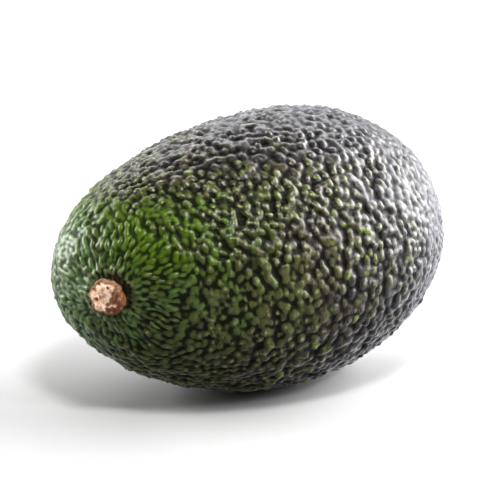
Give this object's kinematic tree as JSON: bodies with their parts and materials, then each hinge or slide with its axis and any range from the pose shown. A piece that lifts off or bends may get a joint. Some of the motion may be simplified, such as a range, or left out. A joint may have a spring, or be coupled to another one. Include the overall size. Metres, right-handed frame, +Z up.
{
  "type": "avocado",
  "caption": "Whole pebbly-skinned avocado lying on its side, slimmer at the stem end, with the corky stem button left on its shoulder.",
  "frame": {"origin": "middle of the fruit's footprint box, on the surface that it lies on", "axes": "+X along the fruit, from the stem end to the fat blossom end; +Z up, with the fruit lying on its side; the stem button is on the -X, -Y shoulder"},
  "size_m": [0.1, 0.0654, 0.0651],
  "materials": {
    "skin": "satin, pebbled rind, green at the stem end and purple-black at the blossom end",
    "cork": "dry, matt, rough cork"
  },
  "bodies": {
    "root": {"fruit": "skin", "stem_button": "cork"}
  },
  "joints": []
}
